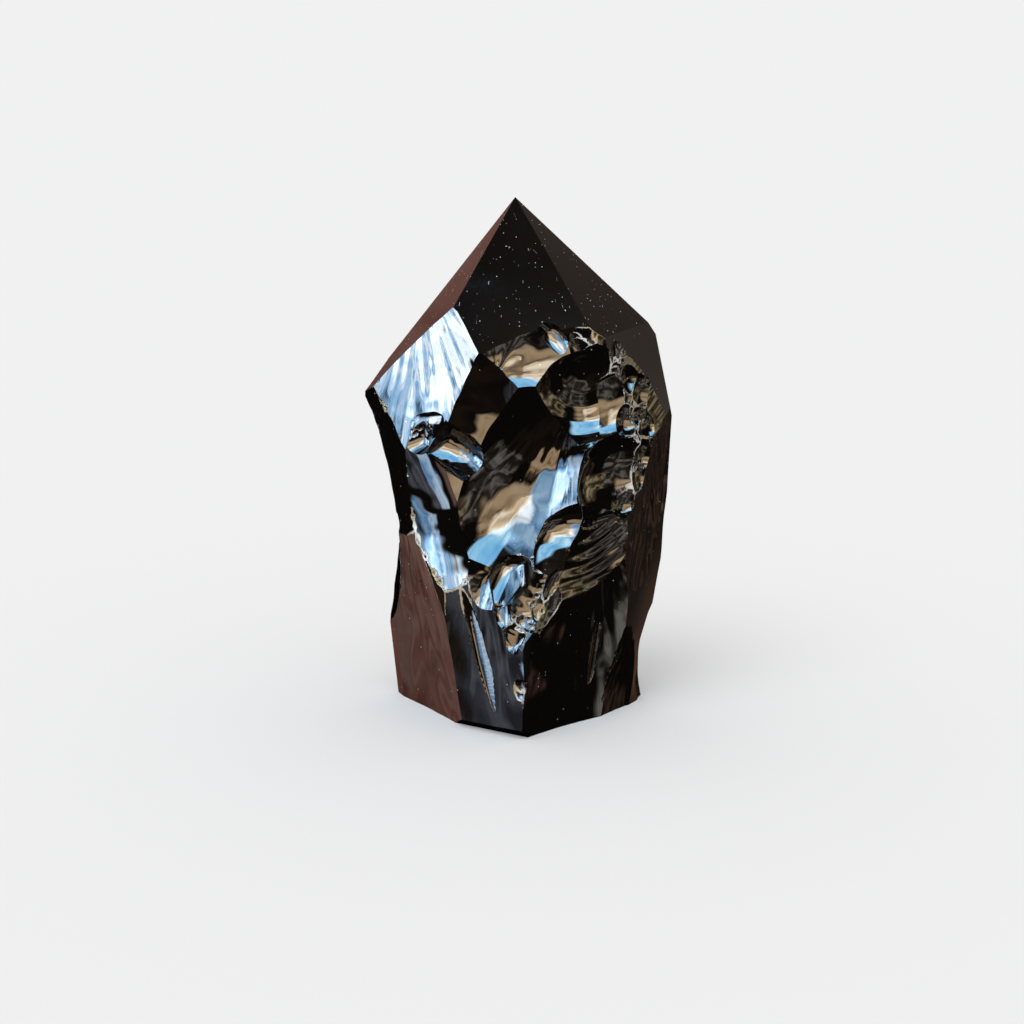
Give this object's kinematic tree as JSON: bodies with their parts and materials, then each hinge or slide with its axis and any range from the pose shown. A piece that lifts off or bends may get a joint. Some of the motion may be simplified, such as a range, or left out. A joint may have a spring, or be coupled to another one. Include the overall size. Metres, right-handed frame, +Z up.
{
  "type": "obsidian point",
  "caption": "Black volcanic glass stone with a raw flaked body, a polished faceted tip and a flat cut foot to stand on.",
  "frame": {"origin": "middle of the stone's box at the flat cut foot, on the surface it stands on", "axes": "+Z up from the foot to the tip; -Y out of the broad flaked front; +X to the right seen from the front"},
  "size_m": [0.0594, 0.0452, 0.1],
  "materials": {
    "obsidian": "gloss"
  },
  "bodies": {
    "root": {"obsidian_point": "obsidian"}
  },
  "joints": []
}
